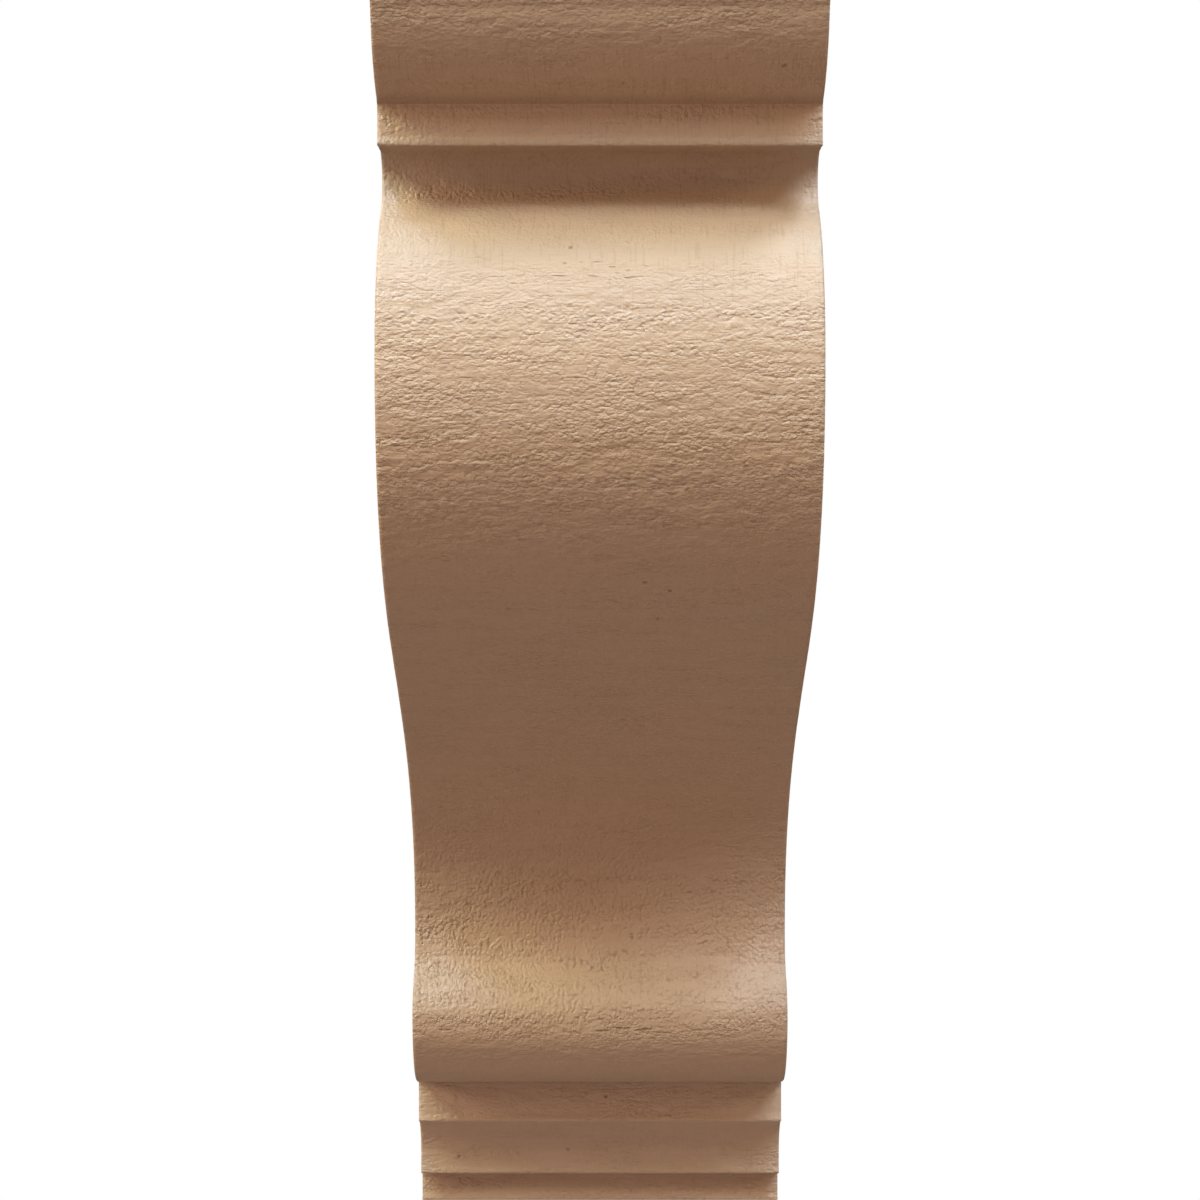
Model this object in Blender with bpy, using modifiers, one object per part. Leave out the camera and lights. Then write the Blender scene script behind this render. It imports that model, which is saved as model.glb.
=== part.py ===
import math

import bpy
from mathutils import Vector
from mathutils.geometry import interpolate_bezier

# The corbel is fixed to a wall. Its back is the plane y = 0, its front faces -Y, and the
# origin is at the middle of the back.
# The sizes are in inches, because the mouldings come out in eighths and quarters.
INCH = 0.0254
WIDTH = 4.0
DEPTH = 8.0
HEIGHT = 12.0

# Each band is given by how far it stands out from the wall and its height above the underside.
BASE_FILLET_OUT = 1.27
BASE_FILLET_TOP = 0.346
NECK_OUT = 1.478
NECK_COVE_RADIUS = 0.5
NECK_COVE_BOTTOM = 0.52
LOWER_FILLET_OUT = 1.863

# The small scroll at the foot is a roll whose upper side rises to a crease.
# A lean is an angle away from straight up, towards the front.
ROLL_RADIUS = 0.872
ROLL_OUT = 2.865
ROLL_HEIGHT = 2.345
ROLL_REACH = 0.18
CREASE_OUT = 2.5
CREASE_HEIGHT = 2.843
CREASE_LEAN = 118.0
CREASE_REACH = 0.12

# The S-curve runs from the waist, up its slanting middle, to the nose of the bulge.
WAIST_OUT = 2.444
WAIST_HEIGHT = 3.18
WAIST_REACH_DOWN = 0.12
WAIST_REACH_UP = 1.405
SLANT_OUT = 4.764
SLANT_HEIGHT = 5.794
SLANT_LEAN = 60.3
SLANT_REACH_DOWN = 0.809
SLANT_REACH_UP = 1.275
NOSE_OUT = 7.524
NOSE_HEIGHT = 8.95
NOSE_REACH = 1.96

# Above the nose, the bulge turns back into a small cove under the top moulding.
BULGE_RADIUS = 1.778
BULGE_TURN = 53.5
TOP_COVE_RADIUS = 0.25
TOP_FILLET_OUT = 7.238
TOP_FILLET_BOTTOM = 10.833
TOP_FILLET_TOP = 11.209
OVOLO_RADIUS = 1.1

# The longest straight facet on a curved stretch, and the softened edges of the moulding.
FACET = 0.04
EDGE_SOFTENING = 0.016
EDGE_ANGLE = 30.0
FLAT_ANGLE = 0.1
WELD_DISTANCE = 0.00001

# Points of the outline are pairs: out from the wall, and up from the underside.
UP = Vector((0.0, 1.0))

COLOUR = (0.50, 0.315, 0.19, 1.0)
ROUGHNESS = 0.55


def clear_scene():
    for item in list(bpy.data.objects):
        bpy.data.objects.remove(item, do_unlink=True)


def direction(angle):
    """Unit vector, with 0 degrees straight out from the wall and 90 straight up."""
    return Vector((math.cos(math.radians(angle)), math.sin(math.radians(angle))))


def lean(angle):
    return direction(90.0 - angle)


def arc(centre, radius, start, end):
    length = math.radians(abs(end - start)) * radius
    steps = math.ceil(length / FACET)
    turn = (end - start) / steps
    return [centre + radius * direction(start + turn * step) for step in range(steps + 1)]


def sweep(start, start_pull, end_pull, end):
    """Free curve between two points, each pulled along by a vector from that point."""
    steps = math.ceil((end - start).length / FACET)
    return interpolate_bezier(start, start + start_pull, end + end_pull, end, steps + 1)


def foot():
    """Base fillet, neck with its cove, and the fillet under the roll."""
    cove_centre = Vector((NECK_OUT + NECK_COVE_RADIUS, NECK_COVE_BOTTOM))
    cove_end = math.degrees(math.acos((LOWER_FILLET_OUT - cove_centre.x) / NECK_COVE_RADIUS))
    base = [Vector((BASE_FILLET_OUT, 0.0)),
            Vector((BASE_FILLET_OUT, BASE_FILLET_TOP)),
            Vector((NECK_OUT, BASE_FILLET_TOP))]
    fillet_top = Vector((LOWER_FILLET_OUT, ROLL_HEIGHT - ROLL_RADIUS))
    return base + arc(cove_centre, NECK_COVE_RADIUS, 180.0, cove_end) + [fillet_top]


def roll():
    """Small lower scroll, from its underside round its front and up to the crease."""
    front = Vector((ROLL_OUT, ROLL_HEIGHT))
    crease = Vector((CREASE_OUT, CREASE_HEIGHT))
    centre = front - Vector((ROLL_RADIUS, 0.0))
    upper = sweep(front, UP * ROLL_REACH, lean(CREASE_LEAN) * CREASE_REACH, crease)
    return arc(centre, ROLL_RADIUS, -90.0, 0.0) + upper[1:]


def s_curve():
    """From the crease through the waist and the slanting middle to the nose of the bulge."""
    crease = Vector((CREASE_OUT, CREASE_HEIGHT))
    waist = Vector((WAIST_OUT, WAIST_HEIGHT))
    slant = Vector((SLANT_OUT, SLANT_HEIGHT))
    nose = Vector((NOSE_OUT, NOSE_HEIGHT))
    along = lean(SLANT_LEAN)
    below = sweep(crease, (waist - crease) / 3.0, -UP * WAIST_REACH_DOWN, waist)
    hollow = sweep(waist, UP * WAIST_REACH_UP, -along * SLANT_REACH_DOWN, slant)
    swell = sweep(slant, along * SLANT_REACH_UP, -UP * NOSE_REACH, nose)
    return below[1:] + hollow[1:] + swell[1:]


def bulge_top():
    """Arc above the nose and the small cove that it turns back into."""
    bulge_centre = Vector((NOSE_OUT - BULGE_RADIUS, NOSE_HEIGHT))
    brow = arc(bulge_centre, BULGE_RADIUS, 0.0, BULGE_TURN)
    cove_centre = brow[-1] + TOP_COVE_RADIUS * direction(BULGE_TURN)
    cove_centre.y = TOP_FILLET_BOTTOM - TOP_COVE_RADIUS
    cove = arc(cove_centre, TOP_COVE_RADIUS, 180.0 + BULGE_TURN, 90.0)
    return brow[1:] + cove[1:]


def crown():
    """Fillet and ovolo of the top moulding, whose arc the flat top cuts off."""
    start = Vector((TOP_FILLET_OUT, TOP_FILLET_TOP))
    end = Vector((DEPTH, HEIGHT))
    chord = end - start
    middle = (start + end) / 2.0
    inward = Vector((-chord.y, chord.x)).normalized()
    centre = middle + inward * math.sqrt(OVOLO_RADIUS ** 2 - (chord.length / 2.0) ** 2)
    first = math.degrees(math.atan2(start.y - centre.y, start.x - centre.x))
    last = math.degrees(math.atan2(end.y - centre.y, end.x - centre.x))
    return [Vector((TOP_FILLET_OUT, TOP_FILLET_BOTTOM))] + arc(centre, OVOLO_RADIUS, first, last)


def outline():
    """Whole side outline, from the foot of the wall face up the front and back to the wall."""
    wall = [Vector((0.0, HEIGHT)), Vector((0.0, 0.0))]
    return foot() + roll() + s_curve() + bulge_top() + crown() + wall


def make_material():
    material = bpy.data.materials.new("tan_primer")
    material.use_nodes = True
    shader = material.node_tree.nodes["Principled BSDF"]
    shader.inputs["Base Color"].default_value = COLOUR
    shader.inputs["Roughness"].default_value = ROUGHNESS
    shader.inputs["Metallic"].default_value = 0.0
    material.diffuse_color = COLOUR
    return material


def make_corbel(collection):
    curve = bpy.data.curves.new("corbel_outline", 'CURVE')
    curve.dimensions = '2D'
    curve.fill_mode = 'BOTH'
    curve.extrude = WIDTH / 2.0 * INCH
    points = outline()
    spline = curve.splines.new('POLY')
    spline.points.add(len(points) - 1)
    for corner, point in zip(spline.points, points):
        corner.co = (point.x * INCH, (point.y - HEIGHT / 2.0) * INCH, 0.0, 1.0)
    spline.use_cyclic_u = True
    curve.materials.append(make_material())

    corbel = bpy.data.objects.new("corbel", curve)
    corbel.rotation_euler = (math.radians(90.0), 0.0, math.radians(-90.0))
    collection.objects.link(corbel)

    weld = corbel.modifiers.new("join_caps", 'WELD')
    weld.merge_threshold = WELD_DISTANCE
    sides = corbel.modifiers.new("flatten_sides", 'DECIMATE')
    sides.decimate_type = 'DISSOLVE'
    sides.angle_limit = math.radians(FLAT_ANGLE)
    bevel = corbel.modifiers.new("soften_edges", 'BEVEL')
    bevel.width = EDGE_SOFTENING * INCH
    bevel.segments = 2
    bevel.limit_method = 'ANGLE'
    bevel.angle_limit = math.radians(EDGE_ANGLE)
    return corbel


def main():
    clear_scene()
    collection = bpy.data.collections.new("scroll_corbel")
    bpy.context.scene.collection.children.link(collection)
    make_corbel(collection)


main()
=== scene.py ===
import math

import bmesh
import bpy
import numpy as np
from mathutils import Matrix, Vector, noise
from mathutils.geometry import delaunay_2d_cdt


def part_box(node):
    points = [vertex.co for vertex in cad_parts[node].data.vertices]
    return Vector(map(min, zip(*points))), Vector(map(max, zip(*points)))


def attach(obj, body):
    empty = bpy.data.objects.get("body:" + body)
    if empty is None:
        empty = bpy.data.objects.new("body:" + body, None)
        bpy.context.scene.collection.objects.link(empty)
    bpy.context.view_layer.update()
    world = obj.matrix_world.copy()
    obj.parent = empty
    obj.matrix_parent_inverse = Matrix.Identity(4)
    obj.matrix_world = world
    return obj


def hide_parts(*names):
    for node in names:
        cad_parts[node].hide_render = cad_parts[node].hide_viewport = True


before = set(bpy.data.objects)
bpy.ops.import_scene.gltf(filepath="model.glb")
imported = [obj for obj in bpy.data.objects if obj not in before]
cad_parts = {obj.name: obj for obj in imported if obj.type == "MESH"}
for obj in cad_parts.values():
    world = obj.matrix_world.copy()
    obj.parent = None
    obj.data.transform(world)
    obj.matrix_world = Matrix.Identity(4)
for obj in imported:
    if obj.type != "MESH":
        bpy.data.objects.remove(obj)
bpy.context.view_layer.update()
print("frame loaded")

mm = 0.001


# Outline of the CAD solid

def readOutline(node):
    # closed loop of (y, z) points where the moulded faces meet the softened side edges
    bm = bmesh.new()
    bm.from_mesh(node.data)
    bmesh.ops.remove_doubles(bm, verts=bm.verts, dist=0.001 * mm)
    bm.normal_update()
    band = {face for face in bm.faces if abs(face.normal.x) < 0.05}  # not the sides and their edges
    nextTo = {}
    for edge in bm.edges:
        a, b = edge.verts
        onRim = sum(face in band for face in edge.link_faces) == 1
        if onRim and a.co.x > 0.0 and b.co.x > 0.0:
            nextTo.setdefault(a, []).append(b)
            nextTo.setdefault(b, []).append(a)
    first = min(nextTo, key=lambda v: (round(v.co.z / mm), v.co.y))  # front corner of the underside
    walk = [first]
    here = min(nextTo[first], key=lambda v: v.co.y - v.co.z)  # sets off up the front
    while here is not first:
        walk.append(here)
        here = next(v for v in nextTo[here] if v is not walk[-2])
    points = np.array([(v.co.y, v.co.z) for v in walk])
    bm.free()
    return points


# Mesh of the corbel: a ribbon that runs round the outline, closed by a panel on each side

corbelMesh = {
    "outlineStep": 0.1 * mm,   # spacing of the fine copy of the outline that the rows are picked from
    "columnStep": 0.94 * mm,   # quads along the width
    "fineRow": 0.52 * mm,      # row spacing where the front catches the light
    "coarseRow": 1.05 * mm,    # on faces that look down
    "hiddenRow": 8.0 * mm,     # top, back and underside
    "backReach": 1.0 * mm,     # points this close to the back's plane belong to the back
    "endReach": 0.2 * mm,      # and the same for the top and the underside
    "cornerRow": 0.24 * mm,    # beside the creases and lips
    "cornerBlur": 0.08 * mm,   # softens them a little
    "facetBlur": 0.6 * mm,     # smooths the facets of the CAD outline between them
    "edgeColumns": (0.0, 0.12 * mm, 0.35 * mm, 0.7 * mm, 1.2 * mm),  # closer quads beside the side edges
    "edgeRound": 0.38 * mm,    # how far the side edges are rounded off
    "edgeReach": 0.7 * mm,     # where the rounding begins
    "panelStep": 3.2 * mm,     # grid of points inside a side panel
}


def blurLoop(points, width, step):
    reach = int(4 * width / step)
    weight = np.exp(-0.5 * (np.arange(-reach, reach + 1) * step / width) ** 2)
    weight /= weight.sum()
    padded = np.vstack([points[-reach:], points, points[:reach]])
    return np.column_stack([np.convolve(padded[:, k], weight, "valid") for k in (0, 1)])


def resample(points, size):
    # fine, evenly spaced copy of the closed outline, crisp at its creases and smooth between them
    step = size["outlineStep"]
    loop = np.vstack([points, points[:1]])
    along = np.concatenate([[0.0], np.cumsum(np.hypot(*np.diff(loop, axis=0).T))])
    count = int(along[-1] / step)
    at = np.arange(count) * along[-1] / count
    even = np.column_stack([np.interp(at, along, loop[:, k]) for k in (0, 1)])
    crisp = blurLoop(even, size["cornerBlur"], step)
    soft = blurLoop(even, size["facetBlur"], step)
    away = nearCorner(at, outwardNormals(crisp)) / size["facetBlur"]
    share = np.clip((away - 3.0) / 3.0, 0.0, 1.0)[:, None]
    return at, crisp + share * (soft - crisp)


def outwardNormals(points):
    ahead = np.roll(points, -1, axis=0) - np.roll(points, 1, axis=0)
    ahead /= np.hypot(*ahead.T)[:, None]
    normals = np.column_stack([-ahead[:, 1], ahead[:, 0]])
    area = np.sum(points[:, 0] * np.roll(points[:, 1], -1) - np.roll(points[:, 0], -1) * points[:, 1])
    return -normals if area > 0.0 else normals


def chooseRows(at, points, normals, size):
    # indices of the rows: close on the lit front, wider under it, widest on the hidden flats
    low, high = points.min(axis=0), points.max(axis=0)
    flat = points[:, 0] > high[0] - size["backReach"]
    flat |= points[:, 1] < low[1] + size["endReach"]
    flat |= points[:, 1] > high[1] - size["endReach"]
    shade = np.clip((-normals[:, 1] - 0.62) / 0.2, 0.0, 1.0)
    step = size["fineRow"] + shade * (size["coarseRow"] - size["fineRow"])
    step = np.where(flat, size["hiddenRow"], step)
    step = np.minimum(step, 0.4 * nearCorner(at, normals) + size["cornerRow"])
    progress = np.cumsum((at[1] - at[0]) / step)
    total = round(progress[-1])
    return np.unique(np.searchsorted(progress, np.arange(total) * progress[-1] / total))


def nearCorner(at, normals):
    # distance along the outline to the closest sharp bend
    bend = np.hypot(*(np.roll(normals, -4, axis=0) - np.roll(normals, 4, axis=0)).T)
    corners = at[bend > 0.5]  # turns by about half a radian or more within a millimetre
    length = at[-1] + at[1]
    gap = np.abs(at[:, None] - corners[None, :])
    return np.minimum(gap, length - gap).min(axis=1)


def chooseColumns(size):
    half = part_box("corbel")[1].x
    edge = np.array(size["edgeColumns"])
    inner = half - edge[-1]
    count = round(2 * inner / size["columnStep"])
    middle = np.linspace(-inner, inner, count + 1)
    columns = np.concatenate([-half + edge[:-1], middle, (half - edge[:-1])[::-1]])
    fromEdge = half - np.abs(columns)
    rounding = size["edgeRound"] * np.clip(1.0 - fromEdge / size["edgeReach"], 0.0, 1.0) ** 2.2
    return columns, rounding


# Rough-sawn, sand-blasted timber relief, all of it pressed inwards from the smooth form

timberRelief = {
    "pebble": (2.0 * mm, 1.6 * mm, 0.13 * mm),     # length along the grain, height across it, depth
    "ripple": (9.0 * mm, 1.6 * mm, 0.08 * mm),
    "swell": (34.0 * mm, 9.0 * mm, 0.10 * mm),
    "middle": 0.30 * mm,                           # depth that the relief goes up and down from
    "cluster": (26.0 * mm, 5.0 * mm),              # size of the rougher and calmer stretches
    "clusterGain": 0.6,                            # how much they differ
    "clusterLeast": 0.5,                           # the calmest, as a share of the average
    "bandHeight": 83.0 * mm,                       # height of the roughest band, on the bulge
    "bandReach": 4.5 * mm,
    "bandGain": 0.4,
    "crispEdge": 0.25 * mm,                        # no relief this close to a crease or lip
    "fadeAtEdge": 1.5 * mm,                        # from there to the full relief
}

# What changes up the front: height above the middle in millimetres, then the value there
upTheFront = {
    "roughness": [
        (-152, 1.1), (-136, 1.0), (-124, 0.85), (-116, 0.75), (-104, 0.6), (-100, 1.0), (-97, 1.8),
        (-84, 1.9), (-74, 1.7), (-60, 1.4), (-45, 1.0), (20, 0.9), (38, 1.35), (50, 1.65), (64, 1.1),
        (76, 1.02), (92, 0.9), (104, 1.1), (120, 1.3), (150, 1.3),
    ],
    "upright": [    # share of strokes that run up and down instead of along the grain
        (-152, 0.0), (-104, 0.0), (-92, 1.0), (-60, 1.0), (-45, 0.3), (20, 0.0), (92, 0.0), (104, 0.9),
        (150, 0.0),
    ],
    "hairlines": [(-152, 0.4), (80, 0.4), (90, 1.0), (125, 1.0), (150, 0.5)],
    "tone": [       # painted light above 1, painted shade below it
        (-152, 1.03), (-142, 1.08), (-136, 1.17), (-131, 1.26), (-121, 1.27), (-117, 1.1), (-113, 1.0),
        (-108, 1.06), (-102, 0.91), (-96, 1.0), (-90, 0.99), (-85, 1.02), (-70, 0.98), (-62, 0.91),
        (-54, 0.91), (-44, 0.95), (-30, 1.0), (48, 1.0), (56, 1.03), (64, 1.0), (73, 1.05), (87, 0.96),
        (94, 1.01), (101, 1.09), (107, 0.98), (114, 1.13), (118, 1.05), (124, 0.96), (130, 1.03),
        (132, 0.96), (144, 0.92), (150, 0.88),
    ],
    "shade": [      # painted shade, duller, round the neck, on top of the bulge and in the cove under the top fillet
        (-152, 0.0), (-146, 0.1), (-140, 0.2), (-125, 0.28), (-115, 0.2), (-107, 0.0), (92, 0.0),
        (101, 0.2), (107, 0.0), (111, 0.05), (115.5, 0.34), (118, 0.42), (121, 0.40), (123, 0.30),
        (125, 0.0), (150, 0.0),
    ],
}

# Painted shade lines where a moulding meets the next: height in millimetres, reach above, reach below,
# amount
paintedShadeLines = [
    (132.35, 5.0 * mm, 0.2 * mm, 0.19),
    (-115.1, 0.2 * mm, 3.0 * mm, 0.20),
    (-143.8, 0.2 * mm, 2.6 * mm, 0.20),
]


def valueAt(name, height):
    return float(np.interp(height / mm, *zip(*upTheFront[name])))


def grainNoise(along, across, length, height, shift):
    return noise.noise(Vector((along / length, across / height, shift)))


def reliefDepth(along, across, height, look):
    # how far the surface is pressed in, in metres
    pebbleLength, pebbleTall, pebbleDepth = look["pebble"]
    pebble = grainNoise(along, across, pebbleLength, pebbleTall, 0.3)
    pebble += 0.5 * grainNoise(along, across, pebbleLength * 0.55, pebbleTall * 0.6, 9.1)
    rippleLength, rippleTall, rippleDepth = look["ripple"]
    ripple = grainNoise(along, across, rippleLength, rippleTall, 5.9)
    ripple *= 1.0 - valueAt("upright", height)
    swellLength, swellTall, swellDepth = look["swell"]
    swell = grainNoise(along, across, swellLength, swellTall, 7.3)
    clusterLength, clusterTall = look["cluster"]
    cluster = grainNoise(along, across, clusterLength, clusterTall, 1.9)
    rough = max(look["clusterLeast"], 1.0 + look["clusterGain"] * cluster)
    rough *= 0.5 + 0.5 * valueAt("roughness", height)
    rough *= 1.0 + look["bandGain"] * math.exp(-((height - look["bandHeight"]) / look["bandReach"]) ** 2)
    raised = rough * (pebbleDepth * pebble + rippleDepth * ripple) + swellDepth * swell
    return look["middle"] - raised


def buildCorbel(at, points, size, look):
    normals = outwardNormals(points)
    rows = chooseRows(at, points, normals, size)
    columns, rounding = chooseColumns(size)
    corner = nearCorner(at, normals)
    flatBack = points[:, 0].max()

    bm = bmesh.new()
    grain = bm.loops.layers.uv.new("grain")
    grid = []
    place = {}
    for row in rows:
        y, z = points[row]
        ny, nz = normals[row]
        across = at[row]
        hidden = y > flatBack - size["backReach"] or abs(nz) > 0.999
        fade = min(1.0, max(0.0, corner[row] - look["crispEdge"]) / look["fadeAtEdge"])
        fade = 0.0 if hidden else fade * fade * (3.0 - 2.0 * fade)
        rimShare = min(1.0, 0.3 + corner[row] / (1.6 * mm))  # keeps the ends of the creases and lips crisp
        line = []
        for x, rim in zip(columns, rounding):
            inward = rim * rimShare
            if fade > 0.0:
                inward += fade * max(0.0, reliefDepth(x, across, z, look))
            vert = bm.verts.new((x, y - ny * inward, z - nz * inward))
            place[vert] = (x, across)
            line.append(vert)
        grid.append(line)
    print("ribbon rows", len(rows), "columns", len(columns))

    for k, line in enumerate(grid):
        above = grid[(k + 1) % len(grid)]
        for j in range(len(columns) - 1):
            face = bm.faces.new((line[j], line[j + 1], above[j + 1], above[j]))
            last = k == len(grid) - 1
            for loop in face.loops:
                along, across = place[loop.vert]
                if last and loop.vert in (above[j], above[j + 1]):
                    across += at[-1] + at[1]
                loop[grain].uv = (along, across)
            face.smooth = True

    for side in (0, -1):
        addPanel(bm, grain, [line[side] for line in grid], size, look)
    bmesh.ops.recalc_face_normals(bm, faces=bm.faces)
    mesh = bpy.data.meshes.new("corbel_relief")
    bm.to_mesh(mesh)
    bm.free()
    corbel = bpy.data.objects.new("corbel_relief", mesh)
    bpy.context.scene.collection.objects.link(corbel)
    return corbel


def addPanel(bm, grain, rim, size, look):
    # fills one flat side between the ribbon's edge points, with a staggered grid of its own points inside
    side = rim[0].co.x
    edge = np.array([(vert.co.y, vert.co.z) for vert in rim])
    step = size["panelStep"]
    low, high = edge.min(axis=0), edge.max(axis=0)
    ys = np.arange(low[0] + step / 2, high[0], step)
    zs = np.arange(low[1] + step / 2, high[1], step)
    grid = np.array([(y + (k % 2) * step / 2, z) for k, z in enumerate(zs) for y in ys])
    gap = np.array([np.hypot(*(edge - point).T).min() for point in grid])
    keep = insideLoop(grid, edge) & (gap > 0.45 * step)
    grid, gap = grid[keep], gap[keep]

    # triangles between those points: their corners, and the point that each corner comes from
    flat = [Vector(point) for point in (*edge, *grid)]
    _, _, triangles, source, _, _ = delaunay_2d_cdt(flat, [], [list(range(len(edge)))], 1, 1e-7)
    verts = list(rim)
    for (y, z), away in zip(grid, gap):
        press = reliefDepth(y, z, 0.0, look) * min(1.0, away / (3.0 * mm))  # as calm as half way up
        verts.append(bm.verts.new((side - math.copysign(max(0.0, press), side), y, z)))
    for corners in triangles:
        face = bm.faces.new([verts[source[k][0]] for k in corners])
        face.smooth = True
        for loop in face.loops:
            # away from the front's own stretch, so that its marks and tones don't show here
            loop[grain].uv = (loop.vert.co.y + math.copysign(1.0, side), loop.vert.co.z - 1.0)
    for vert, following in zip(rim, rim[1:] + rim[:1]):
        bm.edges.get((vert, following)).smooth = False  # keeps the side edges crisp


def insideLoop(points, loop):
    # counts how often a line from each point towards +Y crosses the loop
    after = np.roll(loop, -1, axis=0)
    heights = points[:, 1][:, None]
    crossing = (loop[:, 1] > heights) != (after[:, 1] > heights)
    rise = after[:, 1] - loop[:, 1]
    run = after[:, 0] - loop[:, 0]
    safeRise = np.where(rise == 0.0, 1.0, rise)
    where = loop[:, 0] + run * (heights - loop[:, 1]) / safeRise
    return (crossing & (where > points[:, 0][:, None])).sum(axis=1) % 2 == 1


def acrossAt(height):
    # distance up the front, along the outline, to a height above the middle
    front = np.arange(len(outlineAt)) < np.argmax(outlinePoints[:, 1])
    return float(outlineAt[np.argmin(np.where(front, np.abs(outlinePoints[:, 1] - height), 1.0))])


outlineAt, outlinePoints = resample(readOutline(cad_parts["corbel"]), corbelMesh)
corbel = buildCorbel(outlineAt, outlinePoints, corbelMesh, timberRelief)
print("corbel mesh", len(corbel.data.vertices), "points", len(corbel.data.polygons), "faces")


# Tan primer: satin, with painted light and shade up the front and in its creases, and the marks seen on
# the front

primer = {
    "tan": (0.50, 0.315, 0.19),
    # darker tone for the painted shade, and for the real specks and thin lines
    "shadeAndMarkTone": (0.30, 0.165, 0.09),
    "shadeAndMarkAmount": 0.28,         # painted shade in the bump valleys, in the roughest stretches
    # painted shade in the pits, cracks, scratches and cuts
    "markShadeAmount": 0.75,
    "sheen": 0.5,                 # specular level
    "roughness": (0.46, 0.60),    # between patches
    # duller tone for the painted shade up the front
    "shadeTone": (0.30, 0.25, 0.19),
    "mottle": 0.05,               # change of tone over a few centimetres
    "mottleSize": (30.0 * mm, 14.0 * mm),
    "streak": 0.03,               # thin lines along the grain
    "streakSize": (26.0 * mm, 0.55 * mm),
    "speck": 0.10,
    "speckSize": (0.55 * mm, 0.4 * mm),
    # the dashes' darkness is painted shadow under the bumps
    "thread": 0.19,               # how dark the hairlines are,
    "sawLine": 0.13,              # the saw lines
    "dash": 0.40,                 # and the dashes
}

# Fine relief of the primer: length along the grain, height across it, depth
fineRelief = {
    "wideBump": (1.4 * mm, 0.82 * mm, 0.075 * mm),  # rounded bumps with narrow valleys between them
    "tallBump": (0.95 * mm, 1.15 * mm, 0.07 * mm),  # and where the strokes are upright
    "pebble": (0.9 * mm, 0.82 * mm, 0.10 * mm),
    "fleck": (0.48 * mm, 0.44 * mm, 0.05 * mm),
    "ripple": (2.8 * mm, 1.0 * mm, 0.07 * mm),
    "stroke": (0.75 * mm, 1.9 * mm, 0.06 * mm),    # instead of ripples where the strokes are upright
    "crumb": (0.95 * mm, 0.85 * mm, 0.12 * mm),    # only in the roughest band
    "thread": (0.5 * mm, 8.0 * mm, 0.012 * mm),    # faint upright hairlines
    "sawLine": (10.0 * mm, 0.42 * mm, 0.03 * mm),  # and the same along the grain
    "dash": (2.6 * mm, 0.36 * mm, 0.05 * mm),      # short cuts in the rough stretches, darkened with painted shadow
    "threadLevels": (0.64, 0.73),                  # noise levels where these begin and are full
    "sawLineLevels": (0.72, 0.80),
    "dashLevels": (0.66, 0.76),
    "speckLevels": (0.78, 0.84),
    "wobble": (1.0 * mm, 0.5 * mm),                # how fine and how far ragged outlines wander
    "wornPatch": (3.6 * mm, 2.6 * mm),             # small spots worn smooth
    "cluster": (24.0 * mm, 4.5 * mm),              # size of the rougher and calmer stretches
    "clusterRange": (0.62, 1.38),
    "bandHeight": 83.0 * mm,                       # height of the roughest band
    "bandReach": 3.6 * mm,
    "bandGain": 0.1,
    "markDepth": 0.25 * mm,
}

# Marks on the front, in millimetres and degrees: across the width, height, length, width, turn, and
# depth as a share of markDepth
frontMarks = [
    # pits
    (41.3, 138.6, 1.5, 1.0, 20, 1.0), (-6.6, 99.8, 1.3, 0.9, 10, 1.0), (10.5, 23.2, 1.2, 0.9, 0, 1.0),
    (16.4, 21.2, 1.1, 0.9, 30, 1.0), (13.8, 14.6, 1.1, 0.8, 0, 1.0), (8.8, -73.3, 1.0, 1.5, 10, 1.0),
    (-36.4, -85.0, 1.0, 1.6, -20, 1.0), (1.7, -119.8, 1.3, 0.9, 0, 1.0), (-9.1, -136.7, 1.3, 1.0, 0, 1.0),
    (-39.9, -138.8, 1.3, 1.0, 0, 1.0),
    # cracks below the small scroll
    (0.8, -97.4, 5.4, 0.8, 4, 0.9), (6.0, -96.7, 5.8, 0.85, -2, 1.1), (11.6, -97.1, 5.6, 0.85, 3, 1.1),
    (17.0, -98.0, 9.0, 0.65, -4, 0.7), (27.0, -97.2, 8.0, 0.6, 2, 0.5), (-42.0, -97.2, 4.4, 0.8, 2, 0.8),
    (-18.0, -98.2, 6.5, 0.6, -2, 0.5),
    # hair scratches
    (9.7, 80.6, 2.6, 0.35, -65, 0.7), (6.4, 101.1, 2.0, 0.4, -50, 0.6),
    # short cuts on top of the bulge
    (-8.0, 95.9, 1.1, 0.6, 8, 0.8), (-9.0, 92.9, 3.6, 0.5, -3, 0.7), (-1.5, 92.8, 3.4, 0.5, -8, 0.7),
    (-0.6, 96.3, 3.0, 0.45, 6, 0.7), (2.8, 95.0, 2.0, 0.6, -3, 0.8), (6.6, 92.4, 3.0, 0.6, 7, 0.9),
    (6.4, 94.2, 1.2, 0.5, 8, 0.6), (-4.2, 96.2, 0.9, 0.6, 0, 0.6), (10.4, 95.2, 1.6, 0.5, -10, 0.5),
]


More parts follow.
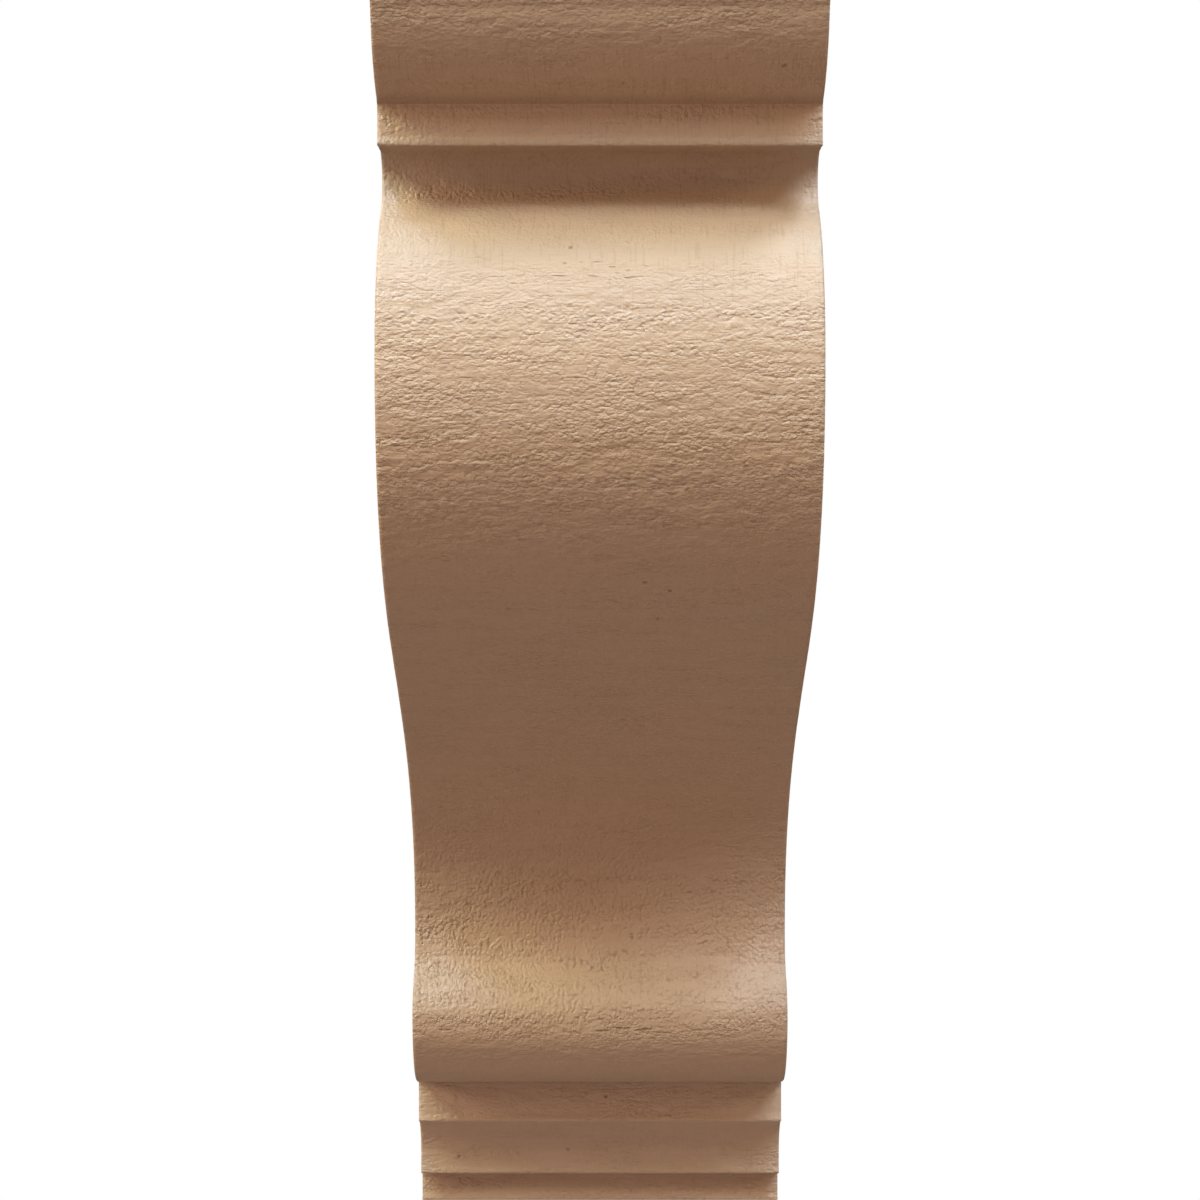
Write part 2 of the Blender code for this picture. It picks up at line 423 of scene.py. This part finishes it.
class Shader:
    # short ways to add the nodes that this scene uses

    def __init__(self, name):
        self.material = bpy.data.materials.new(name)
        self.material.use_nodes = True
        self.nodes = self.material.node_tree.nodes
        self.links = self.material.node_tree.links
        self.principled = self.nodes["Principled BSDF"]

    def put(self, value, socket):
        if isinstance(value, bpy.types.NodeSocket):
            self.links.new(value, socket)
        else:
            socket.default_value = value

    def math(self, operation, a, b=0.0, c=0.0):
        node = self.nodes.new("ShaderNodeMath")
        node.operation = operation
        for value, socket in zip((a, b, c), node.inputs):
            self.put(value, socket)
        return node.outputs[0]

    def spread(self, value, low, high, toLow, toHigh):
        node = self.nodes.new("ShaderNodeMapRange")
        node.interpolation_type = "SMOOTHSTEP"
        for given, socket in zip((value, low, high, toLow, toHigh), node.inputs):
            self.put(given, socket)
        return node.outputs[0]

    def stretch(self, vector, length, height, shift):
        node = self.nodes.new("ShaderNodeVectorMath")
        node.operation = "MULTIPLY_ADD"
        self.put(vector, node.inputs[0])
        node.inputs[1].default_value = (1.0 / length, 1.0 / height, 0.0)
        node.inputs[2].default_value = (shift, 1.7 * shift, 2.3 * shift)
        return node.outputs[0]

    def noise(self, vector, size, shift, detail=1.0, roughness=0.5, bend=0.0):
        # runs from 0 to 1, about 0.5
        node = self.nodes.new("ShaderNodeTexNoise")
        node.inputs["Scale"].default_value = 1.0
        node.inputs["Detail"].default_value = detail
        node.inputs["Roughness"].default_value = roughness
        node.inputs["Distortion"].default_value = bend
        self.put(self.stretch(vector, size[0], size[1], shift), node.inputs["Vector"])
        return node.outputs["Fac"]

    def profile(self, value, points):
        # smooth curve through pairs of position and strength, level beyond its ends
        low, high = points[0][0], points[-1][0]
        top = max(strength for _, strength in points)
        node = self.nodes.new("ShaderNodeFloatCurve")
        curve = node.mapping.curves[0]
        for _ in points[2:]:
            curve.points.new(0.5, 0.5)
        for knot, (where, strength) in zip(curve.points, points):
            knot.location = ((where - low) / (high - low), strength / top)
            knot.handle_type = "AUTO_CLAMPED"
        node.mapping.update()
        share = self.math("DIVIDE", self.math("SUBTRACT", value, low), high - low)
        share = self.math("MINIMUM", self.math("MAXIMUM", share, 0.0), 1.0)
        self.put(share, node.inputs["Value"])
        return self.math("MULTIPLY", node.outputs[0], top)

    def bumps(self, vector, size, shift):
        # heights of rounded bumps about a middle level, and the distance from the top of each
        node = self.nodes.new("ShaderNodeTexVoronoi")
        node.voronoi_dimensions = "2D"
        node.inputs["Scale"].default_value = 1.0
        self.put(self.stretch(vector, size[0], size[1], shift), node.inputs["Vector"])
        away = node.outputs["Distance"]
        sunk = self.math("MULTIPLY", away, away)
        return self.math("MULTIPLY_ADD", sunk, -2.0 * size[2], 0.45 * size[2]), away

    def lump(self, vector, size, shift, detail=1.0, roughness=0.5, bend=0.0):
        # noise as a height, up and down from a middle level by its depth
        value = self.noise(vector, size, shift, detail, roughness, bend)
        return self.math("MULTIPLY_ADD", value, 2.0 * size[2], -size[2])

    def ellipse(self, vector, centre, length, width, turn):
        # 0 at the centre, 1 at the rim
        node = self.nodes.new("ShaderNodeMapping")
        node.vector_type = "TEXTURE"
        self.put(vector, node.inputs["Vector"])
        node.inputs["Location"].default_value = (centre[0], centre[1], 0.0)
        node.inputs["Rotation"].default_value = (0.0, 0.0, math.radians(turn))
        node.inputs["Scale"].default_value = (length / 2, width / 2, 1.0)
        size = self.nodes.new("ShaderNodeVectorMath")
        size.operation = "LENGTH"
        self.put(node.outputs[0], size.inputs[0])
        return size.outputs["Value"]

    def blend(self, amount, first, second):
        node = self.nodes.new("ShaderNodeMix")
        node.data_type = "RGBA"
        self.put(amount, node.inputs["Factor"])
        for value, socket in ((first, node.inputs[6]), (second, node.inputs[7])):
            self.put(value if isinstance(value, bpy.types.NodeSocket) else (*value, 1.0), socket)
        return node.outputs[2]


def roughStretches(s, grain, across, upFront, fine):
    # how rough the relief is: small spots worn smooth, calmer and rougher stretches, the band
    rough = s.spread(s.noise(grain, fine["wornPatch"], 4.1, 0.0), 0.25, 0.33, 0.3, 1.0)
    cluster = s.noise(grain, fine["cluster"], 1.3, 1.0)
    rough = s.math("MULTIPLY", rough, s.spread(cluster, 0.30, 0.70, *fine["clusterRange"]))
    away = s.math("DIVIDE", s.math("SUBTRACT", across, acrossAt(fine["bandHeight"])), fine["bandReach"])
    band = s.math("EXPONENT", s.math("MULTIPLY", s.math("MULTIPLY", away, away), -1.0))
    rough = s.math("MULTIPLY", rough, s.math("MULTIPLY_ADD", band, fine["bandGain"], 1.0))
    return s.math("MULTIPLY", rough, upFront["roughness"]), band


def raggedGrain(s, grain, fine):
    # coordinates with a small wobble, for ragged outlines
    size, reach = fine["wobble"]
    ragged = s.nodes.new("ShaderNodeTexNoise")
    ragged.inputs["Scale"].default_value = 1.0
    s.put(s.stretch(grain, size, size, 6.6), ragged.inputs["Vector"])
    wobble = s.nodes.new("ShaderNodeVectorMath")
    wobble.operation = "MULTIPLY_ADD"
    s.put(ragged.outputs["Color"], wobble.inputs[0])
    wobble.inputs[1].default_value = (reach, reach, 0.0)
    s.put(grain, wobble.inputs[2])
    return wobble.outputs[0]


def blastedTimber(s, grain, ragged, upFront, rough, band, fine):
    # bumps, lumps, ripples along the grain and fine flecks, all about a middle level
    upright = upFront["upright"]
    lengthwise = s.math("SUBTRACT", 1.0, upright)
    wideBumps, wideAway = s.bumps(ragged, fine["wideBump"], 21.3)
    tallBumps, tallAway = s.bumps(ragged, fine["tallBump"], 23.9)
    ripples = s.lump(grain, fine["ripple"], 2.9, 1.0, 0.5, 0.12)
    strokes = s.lump(grain, fine["stroke"], 6.2, 1.0, 0.5, 0.1)
    height = s.lump(grain, fine["pebble"], 0.7, 1.0, 0.45, 0.05)
    height = s.math("MULTIPLY_ADD", s.math("ADD", strokes, tallBumps), upright, height)
    height = s.math("MULTIPLY_ADD", s.math("ADD", ripples, wideBumps), lengthwise, height)
    height = s.math("ADD", s.lump(grain, fine["fleck"], 5.3), height)
    height = s.math("MULTIPLY_ADD", s.lump(grain, fine["crumb"], 7.7, 0.0), band, height)
    valleys = s.math("MULTIPLY_ADD", wideAway, lengthwise, s.math("MULTIPLY", tallAway, upright))
    return s.math("MULTIPLY", height, rough), valleys


def thinCuts(s, grain, upFront, rough, fine):
    # amounts of the hairlines, the saw lines and the dashes, each 0 beside them
    cuts = {}
    for name, shift in (("thread", 8.8), ("sawLine", 14.4), ("dash", 17.9)):
        cut = s.noise(grain, fine[name], shift, 0.0)
        cuts[name] = s.spread(cut, *fine[name + "Levels"], 0.0, 1.0)
    cuts["thread"] = s.math("MULTIPLY", cuts["thread"], upFront["hairlines"])
    lengthwise = s.math("SUBTRACT", 1.0, upFront["upright"])
    cuts["dash"] = s.math("MULTIPLY", cuts["dash"], s.math("MULTIPLY", lengthwise, rough))
    return cuts


def pitsAndCracks(s, ragged, marks, fine):
    # 0 on the sound front, about 1 in the deepest marks
    wander = fine["wobble"][1] / 2  # the wobble moves everything by half its reach
    hollow = 0.0
    for x, z, length, width, turn, depth in marks:
        centre = (x * mm + wander, acrossAt(z * mm) + wander)
        rim = s.ellipse(ragged, centre, length * mm, width * mm, turn)
        hollow = s.math("MAXIMUM", s.spread(rim, 0.4, 1.1, depth, 0.0), hollow)
    return hollow


def shadeAndMarkAmount(s, grain, valleys, rough, cuts, hollow, look, fine):
    # how much of the darker tone shows: painted shade in the bump valleys, under the dashes and in the
    # pits and cracks, with the real specks, hairlines and saw lines
    # painted shade in the valleys between the bumps
    shadeAndMarks = s.spread(valleys, 0.45, 0.85, 0.0, look["shadeAndMarkAmount"])
    shadeAndMarks = s.math("MULTIPLY", shadeAndMarks, s.math("MAXIMUM", s.math("SUBTRACT", rough, 0.8), 0.1))
    specks = s.noise(grain, look["speckSize"], 12.1, 0.0)
    shadeAndMarks = s.math("ADD", shadeAndMarks, s.spread(specks, *fine["speckLevels"], 0.0, look["speck"]))
    shadeAndMarks = s.math("MULTIPLY_ADD", cuts["thread"], look["thread"], shadeAndMarks)
    shadeAndMarks = s.math("MULTIPLY_ADD", cuts["sawLine"], look["sawLine"], shadeAndMarks)
    # painted shadow under the bumps along the dashes
    deepDash = s.math("MAXIMUM", s.math("SUBTRACT", cuts["dash"], 0.8), 0.0)
    shadeAndMarks = s.math("MULTIPLY_ADD", deepDash, look["dash"], shadeAndMarks)
    # painted shade in the pits and cracks
    return s.math("MAXIMUM", shadeAndMarks, s.math("MULTIPLY", hollow, look["markShadeAmount"]))


def toneShift(s, grain, mottle, across, upFront, shadeLines, look):
    # factor on the whole colour: mottle, streaks, painted light and shade in bands up the front, painted
    # shade lines where mouldings meet
    streaks = s.noise(grain, look["streakSize"], 9.7, 1.0)
    shift = s.math("MULTIPLY_ADD", mottle, 2.0 * look["mottle"], 1.0 - look["mottle"] - look["streak"])
    shift = s.math("MULTIPLY_ADD", streaks, 2.0 * look["streak"], shift)
    # painted light and shade in bands up the front
    shift = s.math("MULTIPLY", shift, upFront["tone"])
    # painted shade lines where the mouldings meet
    for z, above, below, amount in shadeLines:
        away = s.math("SUBTRACT", across, acrossAt(z * mm))
        under = s.spread(away, -below, 0.0, 0.0, amount)
        over = s.spread(away, 0.0, above, amount, 0.0)
        shift = s.math("MULTIPLY", shift, s.math("SUBTRACT", 1.0, s.math("MINIMUM", under, over)))
    return shift


def makePrimer(look, fine, marks, changes, shadeLines):
    s = Shader("tan_primer")
    grainMap = s.nodes.new("ShaderNodeUVMap")
    grainMap.uv_map = "grain"
    grain = grainMap.outputs["UV"]
    split = s.nodes.new("ShaderNodeSeparateXYZ")
    s.put(grain, split.inputs[0])
    across = split.outputs["Y"]
    upFront = {name: s.profile(across, [(acrossAt(z * mm), value) for z, value in points])
               for name, points in changes.items()}

    # relief
    rough, band = roughStretches(s, grain, across, upFront, fine)
    ragged = raggedGrain(s, grain, fine)
    height, valleys = blastedTimber(s, grain, ragged, upFront, rough, band, fine)
    cuts = thinCuts(s, grain, upFront, rough, fine)
    for name, cut in cuts.items():
        height = s.math("MULTIPLY_ADD", cut, -fine[name][2], height)
    hollow = pitsAndCracks(s, ragged, marks, fine)
    height = s.math("MULTIPLY_ADD", hollow, -fine["markDepth"], height)
    bump = s.nodes.new("ShaderNodeBump")
    bump.inputs["Distance"].default_value = 1.0
    s.put(height, bump.inputs["Height"])
    s.put(bump.outputs["Normal"], s.principled.inputs["Normal"])

    # colour
    mottle = s.noise(grain, look["mottleSize"], 3.3, 2.0)
    shadeAndMarks = shadeAndMarkAmount(s, grain, valleys, rough, cuts, hollow, look, fine)
    # painted shade up the front, towards the duller tone
    tone = s.blend(upFront["shade"], look["tan"], look["shadeTone"])
    tone = s.blend(shadeAndMarks, tone, look["shadeAndMarkTone"])
    scaled = s.nodes.new("ShaderNodeVectorMath")
    scaled.operation = "SCALE"
    s.put(tone, scaled.inputs[0])
    s.put(toneShift(s, grain, mottle, across, upFront, shadeLines, look), scaled.inputs["Scale"])
    s.put(scaled.outputs[0], s.principled.inputs["Base Color"])

    # gloss
    s.put(s.spread(mottle, 0.3, 0.7, *look["roughness"]), s.principled.inputs["Roughness"])
    s.principled.inputs["Specular IOR Level"].default_value = look["sheen"]
    return s.material


corbel.data.materials.append(makePrimer(primer, fineRelief, frontMarks, upTheFront, paintedShadeLines))
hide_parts("corbel")
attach(corbel, "root")
print("primer done")


# Floor, light and camera

studio = {
    "cameraDistance": 776.6 * mm,   # from the wall face to the lens
    "cameraHeight": 19.33 * mm,
    "lens": 78.07,                  # millimetres, on a sensor 36 wide
    "sensor": 36.0,
    "floorDrop": 2.4,               # a corbel hangs well above the floor
    "floorSize": 8.0,
    "floorColour": (0.8, 0.74, 0.67),
    "floorSeen": (0.86, 0.85, 0.83),  # keeps the floor pale where it is seen, far below the lamps
    "fillColour": (1.0, 0.72, 0.58),
    "fillStrength": 0.08,
    "lampDistance": 1.5,
    "lampTarget": (0.0, -0.12, 0.0),  # all lamps face this point
}

lamps = {
    # turn to the right of the front and rise, in degrees, then width and height, watts, colour
    "topSoftbox": (0, 70, 0.9, 0.2, 6.7, (0.36, 0.62, 1.0)),
    "leftHigh": (-50, 65, 0.3, 0.3, 14.2, (0.44, 0.65, 1.0)),
    "rightHigh": (50, 65, 0.3, 0.3, 14.7, (0.53, 0.75, 1.0)),
    "leftSoftbox": (-55, 45, 0.3, 0.55, 16.5, (0.81, 1.0, 0.84)),
    "rightSoftbox": (40, 45, 0.3, 0.55, 14.4, (0.67, 0.84, 1.0)),
    "leftGlow": (-67, 19, 0.5, 0.5, 11.5, (1.0, 0.86, 0.74)),
    "rightGlow": (65, 25, 0.5, 0.4, 3.8, (1.0, 0.92, 0.66)),
    "floorGlow": (0, -30, 0.9, 0.5, 5.1, (1.0, 0.71, 0.62)),
    # for the sides and back alone
    "rearLeft": (-150, 30, 0.8, 0.8, 12.0, (0.8, 0.9, 1.0)),
    "rearRight": (145, 20, 0.8, 0.8, 9.0, (1.0, 0.85, 0.7)),
}


def addLamp(name, turn, rise, width, height, watts, colour, look):
    light = bpy.data.lights.new(name, "AREA")
    light.shape = "RECTANGLE"
    light.size = width
    light.size_y = height
    light.energy = watts
    light.color = colour
    lamp = bpy.data.objects.new(name, light)
    turn, rise = math.radians(turn), math.radians(rise)
    direction = Vector((math.sin(turn) * math.cos(rise), -math.cos(turn) * math.cos(rise), math.sin(rise)))
    lamp.location = Vector(look["lampTarget"]) + direction * look["lampDistance"]
    lamp.rotation_euler = direction.to_track_quat("Z", "Y").to_euler()
    bpy.context.scene.collection.objects.link(lamp)


def addRoomLight(look):
    # warm fill for the object, plain white behind it
    world = bpy.data.worlds.new("paper_white")
    world.use_nodes = True
    nodes, links = world.node_tree.nodes, world.node_tree.links
    fill = nodes["Background"]
    fill.inputs["Color"].default_value = (*look["fillColour"], 1.0)
    fill.inputs["Strength"].default_value = look["fillStrength"]
    paper = nodes.new("ShaderNodeBackground")
    paper.inputs["Color"].default_value = (1.0, 1.0, 1.0, 1.0)
    paper.inputs["Strength"].default_value = 1.0
    path = nodes.new("ShaderNodeLightPath")
    mix = nodes.new("ShaderNodeMixShader")
    links.new(path.outputs["Is Camera Ray"], mix.inputs["Fac"])
    links.new(fill.outputs["Background"], mix.inputs[1])
    links.new(paper.outputs["Background"], mix.inputs[2])
    links.new(mix.outputs["Shader"], nodes["World Output"].inputs["Surface"])
    bpy.context.scene.world = world


def addFloor(look):
    bm = bmesh.new()
    bmesh.ops.create_grid(bm, x_segments=1, y_segments=1, size=look["floorSize"] / 2)
    mesh = bpy.data.meshes.new("floor")
    bm.to_mesh(mesh)
    bm.free()
    floor = bpy.data.objects.new("floor", mesh)
    floor.location.z = -look["floorDrop"]
    bpy.context.scene.collection.objects.link(floor)
    pale = bpy.data.materials.new("pale_floor")
    pale.use_nodes = True
    nodes, links = pale.node_tree.nodes, pale.node_tree.links
    nodes["Principled BSDF"].inputs["Base Color"].default_value = (*look["floorColour"], 1.0)
    paper = nodes.new("ShaderNodeEmission")
    paper.inputs["Color"].default_value = (*look["floorSeen"], 1.0)
    path = nodes.new("ShaderNodeLightPath")
    mix = nodes.new("ShaderNodeMixShader")
    links.new(path.outputs["Is Camera Ray"], mix.inputs["Fac"])
    links.new(nodes["Principled BSDF"].outputs["BSDF"], mix.inputs[1])
    links.new(paper.outputs["Emission"], mix.inputs[2])
    links.new(mix.outputs["Shader"], nodes["Material Output"].inputs["Surface"])
    mesh.materials.append(pale)


def addCamera(look):
    camera = bpy.data.objects.new("camera", bpy.data.cameras.new("camera"))
    camera.data.lens = look["lens"]
    camera.data.sensor_width = look["sensor"]
    camera.location = (0.0, -look["cameraDistance"], look["cameraHeight"])
    camera.rotation_euler = (math.radians(90.0), 0.0, 0.0)
    bpy.context.scene.collection.objects.link(camera)
    bpy.context.scene.camera = camera


for name, values in lamps.items():
    addLamp(name, *values, studio)
addRoomLight(studio)
addFloor(studio)
addCamera(studio)
bpy.context.scene.view_settings.view_transform = "Standard"
print("studio done")
